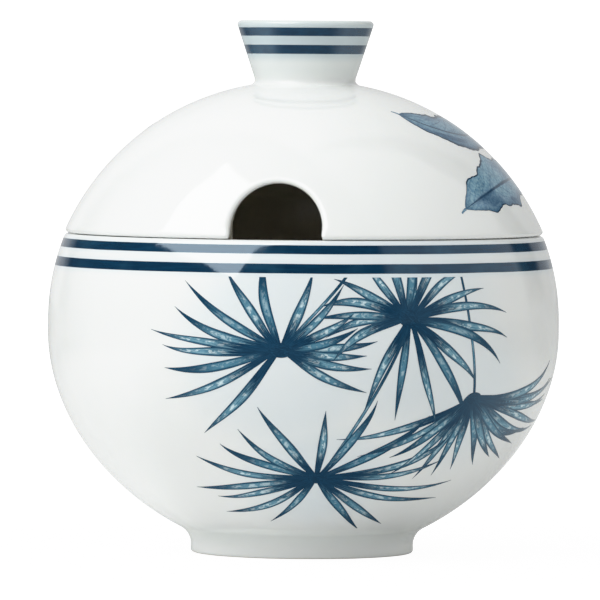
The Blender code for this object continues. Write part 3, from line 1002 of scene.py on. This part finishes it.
# Palm fans round the bowl, once on the front and once, half a turn round, on the back.
# theta is from the camera; seeds are front, back; flash is the reach of the blue flashing.
# A fan has a number of blades, their usual reach, the squash of the slanted fan, the crowd
# of blades towards the two sides, the sector it fills in degrees, lean (extra reach: amount,
# direction, order), the curl of the side blades, the heart (half width, half height, tilt)
# and a stem of (east, north) points from the heart.
FANS = (
    dict(letter="a", theta=-5.0, z=43.6, seeds=(3, 31), flash=26.0,
         blades=17, reach=22.4, squash=0.86, crowd=0.22, sector=(-50.0, 242.0),
         lean=((0.20, 186, 1),), curl=0.40, heart=(2.9, 1.5, -4),
         stem=((1.5, 1.5), (6, 6.5), (10.5, 11.5), (15, 17.5))),
    dict(letter="b", theta=23.5, z=49.9, seeds=(8, 37), flash=27.0,
         blades=19, reach=21.0, squash=1.0, crowd=0.16, sector=(-112.0, 212.0),
         lean=((0.18, 318, 1),), curl=-0.50, heart=(3.1, 1.8, -30),
         stem=((0.6, 1), (1.6, 5), (2.2, 9))),
    dict(letter="c", theta=4.0, z=17.6, seeds=(12, 44), flash=20.0,
         blades=17, reach=24.6, squash=0.84, crowd=0.18, sector=(-74.0, 254.0),
         lean=((0.12, 350, 1), (0.12, 0, 2)), curl=0.70, heart=(2.1, 1.5, -6),
         stem=((1, 1), (5.0, 9.5), (11.2, 22.5), (15.8, 33.2))),
    dict(letter="d", theta=42.0, z=33.6, seeds=(21, 58), flash=20.0,
         blades=19, reach=27.5, squash=0.80, crowd=0.30, sector=(229.0, 366.0),
         lean=((0.20, 0, 2),), curl=0.78, heart=(2.4, 1.2, 20),
         stem=((0.5, 0.5), (-1.2, 9), (-2.8, 18), (-3.9, 27))),
)
FAN_TURNS = ((0.0, "front"), (180.0, "back"))
FAN_TOP_Z, FAN_BOTTOM_Z = 58.1, 6.6

# Broad leaves on the lid, as a pair on the right and a pair on the back.  spine is the
# midrib's (east, north) points; width, the left and right half widths; blunt, how full
# each side is (lower is fuller); torn, how wavy the margin; heavy, added to the tone.
LEAVES = (
    dict(letter="a", z=90.3, seeds=(5, 14), width=(6.8, 4.5), blunt=(0.50, 0.85),
         torn=0.6, stalk=1.7, heavy=1.0,
         spine=((0, 0), (4.4, -4.2), (11.0, -7.2), (21.0, -7.8), (36.5, -5.8))),
    dict(letter="b", z=71.5, seeds=(9, 23), width=(6.5, 5.2), blunt=(0.80, 0.90),
         torn=1.2, stalk=1.9, heavy=0.0,
         spine=((0, 0), (10.8, 4.0), (24.3, 6.6), (44.0, 5.0))),
)
LEAF_TURNS = ((0.0, "right"), (160.0, "back"))
LEAF_THETA = 44.5
VIEW = 7.0        # the camera stands this many degrees round from the notch


def palm_fan(name, surface, theta, seed, fan, material):
    """A fan of pointed blades round a dark heart."""
    draw = np.random.default_rng(seed)
    decal = Decal(surface, theta, fan["z"],
                  surface.at_height(FAN_TOP_Z), surface.at_height(FAN_BOTTOM_Z))
    decal.strip(curve_path(fan["stem"]), taper(0.34, 0.06), 1.0, across=2, along=60)
    blades = fan["blades"]
    low, high = np.radians(fan["sector"])
    wide, tall, tilt_deg = fan["heart"]
    tilt = math.radians(tilt_deg)
    cos, sin = math.cos(tilt), math.sin(tilt)
    for k in draw.permutation(blades):
        even = low + (high - low) * (k + draw.uniform(-0.28, 0.28)) / (blades - 1)
        angle = even - fan["crowd"] * math.sin(2 * even)
        stretch = sum(amount * math.cos(order * (angle - math.radians(direction)))
                      for amount, direction, order in fan["lean"])
        length = fan["reach"] * (1 + stretch) * draw.uniform(0.84, 1.08)
        bend = fan["curl"] * math.cos(angle) * draw.uniform(0.6, 1.5) + draw.uniform(-0.12, 0.12)
        width = draw.uniform(0.84, 1.08)
        # blades spring from an oval just inside the heart
        along = 0.45 * wide * math.cos(angle - tilt)
        over = 0.45 * tall * math.sin(angle - tilt)
        root = (along * cos - over * sin, along * sin + over * cos)
        path = blade_path(angle - 0.16 * bend, length - 0.5 * abs(along), bend, fan["squash"],
                          late=draw.uniform(1.1, 2.4), root=root, sway=draw.uniform(-0.10, 0.10))
        half = blade_half(width, skew=draw.uniform(-0.16, 0.16),
                          fullest=draw.uniform(0.40, 0.56))
        decal.strip(path, half, draw.uniform(0, 1))
    # the heart where the blades meet
    decal.strip(lambda u: ((2 * u - 1) * wide * cos, (2 * u - 1) * wide * sin),
                lambda u: (max(0.04, tall * (1 - (2 * u - 1) ** 2) ** 0.8),) * 2, 1.4, across=8)
    decal.make(name, material, "bowl")


def broad_leaf(name, surface, theta, seed, leaf, material):
    """An oval leaf with a wavy, slightly torn margin, and a short stalk."""
    draw = np.random.default_rng(seed)
    decal = Decal(surface, theta, leaf["z"])
    phase = draw.uniform(0, 2 * math.pi, 8)
    torn = leaf["torn"]
    # the margin's waves: depth, cycles along the leaf
    waves = ((torn * 0.11, 3.1), (torn * 0.06, 6.4), (0.022, 12.3), (0.012, 27.0))

    def half(u):
        sides = []
        for first, width, full in zip((0, 4), leaf["width"], leaf["blunt"]):
            shape = 0.0
            if 0 < u < 1:
                shape = math.sin(math.pi * u ** 0.90) ** (full + (0.95 - full) * u)
            margin = 1
            for k, (depth, cycles) in enumerate(waves):
                margin += depth * math.sin(2 * math.pi * cycles * u + phase[first + k])
            sides.append(0.10 + width * shape * margin)
        return tuple(sides)

    path = curve_path(leaf["spine"])
    decal.strip(path, half, draw.uniform(0.2, 0.8) + leaf["heavy"], across=24, along=140)
    start_east, start_north = path(0.0)
    next_east, next_north = path(0.04)
    backward = math.atan2(start_north - next_north, start_east - next_east)
    decal.strip(blade_path(backward, leaf["stalk"], 0.45), taper(0.30, 0.12), 0.9,
                across=2, along=12)
    decal.make(name, material, "lid")


# ---------------------------------------------------------------------- build
def build_bowl(chain, outer, material):
    verts, faces, normals = lathe(chain, 320)
    reach = np.hypot(verts[:, 0], verts[:, 1])
    depth = np.interp(verts[:, 2], outer[:, 1], outer[:, 0]) - reach
    inside = np.clip(depth / 0.8 - 1.6, 0, 1) * (verts[:, 2] > FLOOR_Z - 0.5)
    piece = new_piece("bowl_body", place(verts), faces, normals, material, "bowl", inside)
    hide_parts("bowl")


def build_lid(chain, material):
    verts, faces, normals = notched_lid(chain)
    z = verts[:, 2]
    reach = np.hypot(verts[:, 0], verts[:, 1])
    in_dome = np.clip((DOME_ARC - 1.6 - np.hypot(reach - DOME_R, z - DOME_Z)) / 0.8, 0, 1)
    in_flange = np.clip((FLANGE_R - 0.8 - reach) / 0.6, 0, 1)
    inside = np.where(z > SEAT_Z - 0.2, in_dome, in_flange) * (z < 95.0)
    piece = new_piece("lid_body", place(verts), faces, normals, material, "lid", inside)
    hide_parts("lid")


bowl_profile, bowl_outer = bowl_chain()
lid_profile, lid_outer = lid_chain()
belly, dome = Surface(bowl_outer), Surface(lid_outer)
fan_hearts = []
for turn, _ in FAN_TURNS:
    for fan in FANS:
        heart = belly.map(math.radians(fan["theta"] + VIEW + turn),
                          belly.at_height(fan["z"]), 0.0, 0.0, 0.0)[0]
        fan_hearts.append((tuple(place(heart)), fan["flash"]))

bowl_glaze = glaze_material("bowl_glaze", BOWL_BANDS, BOWL_HALO, inside_r=48.6, foot=True,
                            hearts=fan_hearts)
lid_glaze = glaze_material("lid_glaze", KNOB_BANDS, KNOB_HALO,
                           inside_r=NECK_R - KNOB_SLOPE * NECK_Z - 1.4, slope=KNOB_SLOPE,
                           knob_shade=0.55)
palm_print = palm_material()
leaf_print = leaf_material()

build_bowl(bowl_profile, bowl_outer, bowl_glaze)
build_lid(lid_profile, lid_glaze)
for which, (turn, mark) in enumerate(FAN_TURNS):
    for fan in FANS:
        palm_fan(f"palm_{mark}_{fan['letter']}", belly, fan["theta"] + turn + VIEW,
                 fan["seeds"][which], fan, palm_print)
for which, (turn, mark) in enumerate(LEAF_TURNS):
    for leaf in LEAVES:
        broad_leaf(f"lid_leaf_{mark}_{leaf['letter']}", dome, LEAF_THETA + turn + VIEW,
                   leaf["seeds"][which], leaf, leaf_print)

# --------------------------------------------------------------------- studio
# Directions as the camera sees them: right, and front from the bowl to the camera.
scene = bpy.context.scene
view_turn = math.radians(VIEW)
right = Vector((math.cos(view_turn), math.sin(view_turn), 0.0))
front = Vector((math.sin(view_turn), -math.cos(view_turn), 0.0))
up = Vector((0, 0, 1))
centre = Vector((AX, AY, Z0))


def add_camera():
    elevation, roll = math.radians(2.016), math.radians(0.42)
    aim_height, aim_left, distance = 51.8 * U, 0.74 * U, 1541.0 * U
    back = (front * math.cos(elevation) + up * math.sin(elevation)).normalized()
    target = centre + up * aim_height - right * aim_left
    camera = add_object("camera", bpy.data.cameras.new("camera"))
    camera.data.lens = 450.0
    camera.data.sensor_width = 36.0
    camera.data.clip_start, camera.data.clip_end = 0.05, 60.0
    basis = Matrix((right, back.cross(right), back)).transposed()
    turned = (basis @ Matrix.Rotation(roll, 3, "Z")).to_4x4()
    camera.matrix_world = Matrix.Translation(target + back * distance) @ turned
    scene.camera = camera


def add_key_softbox():
    """One large softbox, high on the camera's left.  Azimuth is to the right of the
    camera, seen from the bowl; lengths are in metres."""
    azimuth, elevation, spin = math.radians(-49.5), math.radians(46.5), math.radians(-15.0)
    distance, width, height = 0.80, 0.67, 0.58
    radiance, aim_height = 3.22, 0.055
    level = front * math.cos(azimuth) + right * math.sin(azimuth)
    away = level * math.cos(elevation) + up * math.sin(elevation)
    light = bpy.data.lights.new("key_softbox", "AREA")
    light.shape = "RECTANGLE"
    light.size, light.size_y = width, height
    light.energy = radiance * math.pi * width * height
    light.color = (0.99, 1.0, 1.0)
    softbox = add_object("key_softbox", light)
    softbox.location = centre + up * aim_height + away * distance
    facing = away.to_track_quat("Z", "Y").to_matrix()
    softbox.rotation_euler = (facing @ Matrix.Rotation(spin, 3, "Z")).to_euler()


# Fill light by direction, from -1 at the left to 1 at the right: (place, colour).
FILL_STOPS = ((-1.0, (0.655, 0.665, 0.665)), (1.0, (0.60, 0.605, 0.595)))
# What the glaze mirrors, by degrees to the right of the camera: (degrees, grey level).
# Pale boards stand to the right and behind, with dark room between.
BOARD_STOPS = ((-180, 0.70), (-150, 0.60), (-141, 0.05), (-60, 0.02), (38, 0.02), (43, 0.34),
               (70, 0.43), (120, 0.52), (125, 0.05), (138, 0.05), (143, 0.42), (180, 0.70))


def colour_ramp(net, value, stops, mode):
    """A colour for each value; the stops run over the value's whole range."""
    low, high = stops[0][0], stops[-1][0]
    part = net.node("ShaderNodeMapRange", {"Value": value, "From Min": low, "From Max": high})
    ramp = net.node("ShaderNodeValToRGB", {"Fac": part.outputs[0]})
    ramp.color_ramp.interpolation = mode
    elements = ramp.color_ramp.elements
    while len(elements) > 1:
        elements.remove(elements[-1])
    for i, (stop, colour) in enumerate(stops):
        position = (stop - low) / (high - low)
        element = elements[0] if i == 0 else elements.new(position)
        element.position = position
        element.color = (*np.broadcast_to(colour, 3), 1)
    return ramp.outputs["Color"]


def build_world():
    """A soft fill for lighting, boards for mirroring, and white for the camera."""
    world = bpy.data.worlds.new("studio")
    scene.world = world
    world.use_nodes = True
    world.node_tree.nodes.clear()
    net = Net(world.node_tree)
    light_path = net.node("ShaderNodeLightPath").outputs
    look = net.node("ShaderNodeTexCoord").outputs["Generated"]

    def toward(direction):
        return net.vector_math("DOT_PRODUCT", look, direction)

    # soft fill: brighter on the key side and overhead
    fill = net.node("ShaderNodeBackground", {
        "Color": colour_ramp(net, toward(right), FILL_STOPS, "EASE"),
        "Strength": net.smooth(toward(up), low=0.25, high=0.80, at_low=1.0, at_high=1.13)})
    # the right side of the room is pale low down, so the floor's edge doesn't show as a line
    low_down = net.smooth(toward(up), low=0.0, high=0.14, at_low=0.42, at_high=0.0)
    glow = net.multiply(low_down, net.smooth(toward(right), low=0.1, high=0.6))
    azimuth = net.math("ARCTAN2", toward(right), toward(front))
    degrees = net.multiply(azimuth, 180.0 / math.pi)
    mirrored = colour_ramp(net, degrees, BOARD_STOPS, "LINEAR")
    boards = net.node("ShaderNodeBackground",
                      {"Color": net.mix(1.0, mirrored, glow, mode="LIGHTEN")})
    backdrop = net.node("ShaderNodeBackground", {"Color": (1, 1, 1, 1), "Strength": 1.5})
    room = net.mix_shader(light_path["Is Glossy Ray"], fill, boards)
    seen = net.mix_shader(light_path["Is Camera Ray"], room, backdrop)
    net.node("ShaderNodeOutputWorld", {"Surface": seen.outputs[0]})


def floor_grey(net, glossy_ray):
    """The floor's grey, dimmed where the glaze mirrors it.  Lengths are in metres."""
    noise = net.node("ShaderNodeTexNoise", {"Scale": 9.0}).outputs["Fac"]
    grey = net.mix(noise, (0.83, 0.83, 0.825, 1), (0.86, 0.86, 0.855, 1))
    position = net.node("ShaderNodeNewGeometry").outputs["Position"]
    direction = net.vector_math("NORMALIZE", position, output="Vector")
    forward = net.vector_math("DOT_PRODUCT", direction, front)
    ahead = net.multiply(glossy_ray, net.smooth(forward, low=0.1, high=0.75))
    ahead_level = net.scaled(ahead, times=-0.75, plus=1.0)
    # the table is not endless: in the glaze it fades with distance, most to the left
    # and least straight behind
    distance = net.vector_math("LENGTH", position)
    away = net.smooth(distance, low=0.08, high=0.50)
    sideways = net.vector_math("DOT_PRODUCT", direction, right)
    leftmost = net.smooth(sideways, low=-0.5, high=0.5, at_low=0.85, at_high=0.45)
    behind = net.smooth(forward, low=-0.90, high=-0.60, at_low=0.25, at_high=1.0)
    fade = net.multiply(net.multiply(away, behind), leftmost)
    far_level = net.subtract(1.0, net.multiply(fade, glossy_ray))
    level = net.math("MINIMUM", ahead_level, far_level)
    return net.node("ShaderNodeVectorMath", {0: grey, "Scale": level},
                    operation="SCALE").outputs[0]


def floor_material():
    """A pale floor that the eye loses in the white backdrop."""
    material = bpy.data.materials.new("studio_floor")
    material.use_nodes = True
    material.node_tree.nodes.clear()
    net = Net(material.node_tree)
    light_path = net.node("ShaderNodeLightPath").outputs
    diffuse = net.node("ShaderNodeBsdfDiffuse",
                       {"Color": floor_grey(net, light_path["Is Glossy Ray"])})
    position = net.node("ShaderNodeNewGeometry").outputs["Position"]
    distance = net.vector_math("LENGTH", position)
    white = net.smooth(distance, low=0.03, high=0.30, at_low=0.62, at_high=1.0)
    shown = net.mix_shader(net.multiply(white, light_path["Is Camera Ray"]), diffuse,
                           net.node("ShaderNodeEmission", {"Strength": 1.75}))
    # painted light: the floor itself glows under the belly, for diffuse rays only, in place of the
    # light a pale glossy table sends up
    near = net.smooth(distance, low=0.035, high=0.10, at_low=1.0, at_high=0.0)
    sideways = net.vector_math("DOT_PRODUCT", position, right)
    key_side = net.smooth(sideways, low=-0.05, high=0.04, at_low=0.20, at_high=0.045)
    bounce = net.multiply(net.multiply(near, key_side), light_path["Is Diffuse Ray"])
    floor_glow = net.node("ShaderNodeEmission", {"Strength": bounce})
    total = net.node("ShaderNodeAddShader", {0: shown.outputs[0], 1: floor_glow.outputs[0]})
    net.node("ShaderNodeOutputMaterial", {"Surface": total.outputs[0]})
    return material


def add_floor():
    material = floor_material()
    bpy.ops.mesh.primitive_circle_add(vertices=96, radius=6.0, fill_type="NGON",
                                      location=(0, 0, Z0 - 0.0001))
    floor = bpy.context.object
    floor.name = "studio_floor"
    floor.data.materials.append(material)


def set_tone():
    """A soft shoulder, so the glaze keeps its tone in the brightest places."""
    view = scene.view_settings
    view.view_transform = "Standard"
    view.look = "None"
    view.exposure = 0.0
    view.gamma = 1.0
    view.use_curve_mapping = True
    mapping = view.curve_mapping
    white = 1.4
    mapping.white_level = (white, white, white)
    curve = mapping.curves[3]
    # scene level, shown level; straight up to 0.78
    for level, shown in ((0.30, 0.30), (0.55, 0.55), (0.78, 0.78),
                         (0.95, 0.912), (1.08, 0.955), (1.24, 0.988)):
        curve.points.new(level / white, shown)
    for k, point in enumerate(curve.points):
        point.handle_type = "VECTOR" if k < 3 else "AUTO"
    mapping.update()


add_camera()
add_key_softbox()
build_world()
add_floor()
set_tone()
